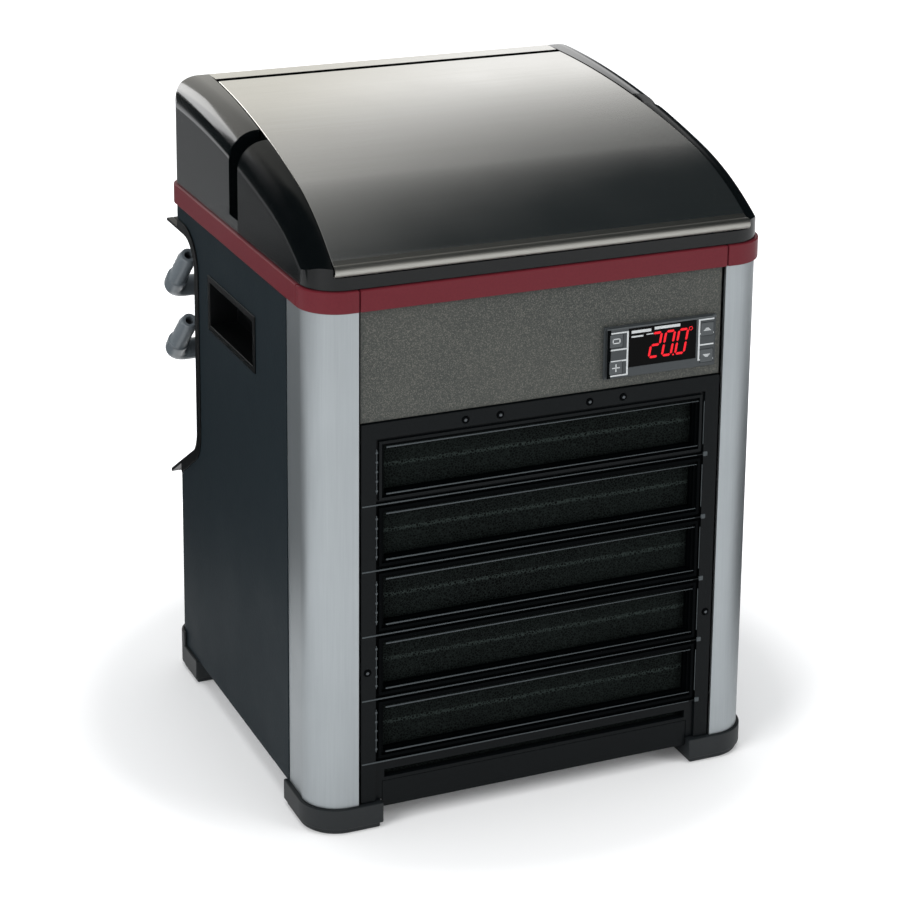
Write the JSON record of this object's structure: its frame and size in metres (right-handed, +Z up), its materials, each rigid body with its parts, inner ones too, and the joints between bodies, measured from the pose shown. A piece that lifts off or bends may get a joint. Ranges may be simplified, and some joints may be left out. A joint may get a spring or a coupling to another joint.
{
  "type": "aquarium chiller",
  "caption": "Cabinet aquarium chiller with a domed hinged lid, louvred pull-out filter, temperature controller, hand holds and a rear bay with swivelling hose elbows.",
  "frame": {"origin": "centre of the bounding box at the floor, under the middle of the unit", "axes": "+Z up, -Y towards the louvred front, +X to the right seen from the front"},
  "size_m": [0.294, 0.3, 0.4023],
  "materials": {
    "silver_paint": "satin",
    "slate_paint": "satin",
    "red_trim": "satin",
    "lid_plastic": "satin",
    "lid_sheet": "satin",
    "fascia_plastic": "satin",
    "grille_plastic": "matte",
    "black_plastic": "matte",
    "dark_steel": "satin",
    "compressor_black": "satin",
    "window_black": "gloss",
    "digit_red": "gloss",
    "key_grey": "satin",
    "foam": "matte",
    "clip_steel": "satin",
    "fitting_grey": "satin",
    "fin_aluminium": "satin",
    "copper": "satin",
    "mount_rubber": "matte",
    "vessel_plastic": "satin",
    "titanium": "satin",
    "hose_grey": "satin"
  },
  "bodies": {
    "chassis": {"base_tray": "black_plastic", "front_frame": "dark_steel", "column_left": "silver_paint", "column_right": "silver_paint", "side_panel_left": "slate_paint", "side_panel_right": "slate_paint", "rear_panel": "slate_paint", "top_deck": "black_plastic", "band_front": "red_trim", "band_corner_left": "red_trim", "band_corner_right": "red_trim", "band_side_left": "red_trim", "band_side_right": "red_trim", "band_rear": "red_trim", "front_fascia": "fascia_plastic", "controller_housing": "fascia_plastic", "display_window": "window_black", "display_digits": "digit_red", "bottom_rail": "fascia_plastic", "rear_cover": "lid_plastic", "hinge_pins": "clip_steel", "foot_front_left": "black_plastic", "foot_front_right": "black_plastic", "foot_rear_left": "black_plastic", "foot_rear_right": "black_plastic", "grip_cup_left": "black_plastic", "grip_cup_right": "black_plastic", "edge_trim_left": "black_plastic", "edge_trim_right": "black_plastic", "rear_bay": "black_plastic", "connection_housing": "black_plastic", "port_unions": "black_plastic", "cord_gland": "black_plastic", "condenser_fins": "fin_aluminium", "condenser_tube": "copper", "fan_shroud": "black_plastic", "motor_bracket": "dark_steel", "fan_motor": "dark_steel", "compressor": "compressor_black", "compressor_mounts": "mount_rubber", "relay_box": "black_plastic", "exchanger_vessel": "vessel_plastic", "exchanger_cap": "black_plastic", "cooling_coil": "titanium", "filter_drier": "copper", "refrigerant_pipes": "copper", "water_hoses": "hose_grey", "control_box": "black_plastic"},
    "lid": {"lid_shell": "lid_plastic", "lid_skin": "lid_sheet"},
    "filter": {"filter_frame": "grille_plastic", "filter_pad": "foam", "filter_clips": "clip_steel"},
    "fan": {"fan_rotor": "black_plastic"},
    "key_set_button": {"key_set": "key_grey"},
    "key_up_button": {"key_up": "key_grey"},
    "key_down_button": {"key_down": "key_grey"},
    "key_standby_button": {"key_standby": "key_grey"},
    "outlet_fitting": {"elbow_outlet": "fitting_grey"},
    "inlet_fitting": {"elbow_inlet": "fitting_grey"}
  },
  "joints": [
    {"name": "lid_hinge", "type": "hinge", "parent": "chassis", "child": "lid", "pos_m": [0, 0.096, 0.39694], "axis": [-1, 0, 0], "range_deg": [0, 75]},
    {"name": "filter_pull", "type": "slide", "parent": "chassis", "child": "filter", "axis": [0, -1, 0], "range_m": [0, 0.04]},
    {"name": "fan_spin", "type": "hinge", "parent": "chassis", "child": "fan", "pos_m": [0, -0.07, 0.1341], "axis": [0, 1, 0], "continuous": true},
    {"name": "key_set_press", "type": "slide", "parent": "chassis", "child": "key_set_button", "axis": [0, 1, 0], "range_m": [0, 0.0006], "stiffness_N_per_m": 400},
    {"name": "key_up_press", "type": "slide", "parent": "chassis", "child": "key_up_button", "axis": [0, 1, 0], "range_m": [0, 0.0006], "stiffness_N_per_m": 400},
    {"name": "key_down_press", "type": "slide", "parent": "chassis", "child": "key_down_button", "axis": [0, 1, 0], "range_m": [0, 0.0006], "stiffness_N_per_m": 400},
    {"name": "key_standby_press", "type": "slide", "parent": "chassis", "child": "key_standby_button", "axis": [0, 1, 0], "range_m": [0, 0.0006], "stiffness_N_per_m": 400},
    {"name": "outlet_swivel", "type": "hinge", "parent": "chassis", "child": "outlet_fitting", "pos_m": [-0.1398, 0.13, 0.256], "axis": [-1, 0, 0], "range_deg": [-15, 15]},
    {"name": "inlet_swivel", "type": "hinge", "parent": "chassis", "child": "inlet_fitting", "pos_m": [-0.1398, 0.13, 0.212], "axis": [-1, 0, 0], "range_deg": [-15, 15]}
  ]
}
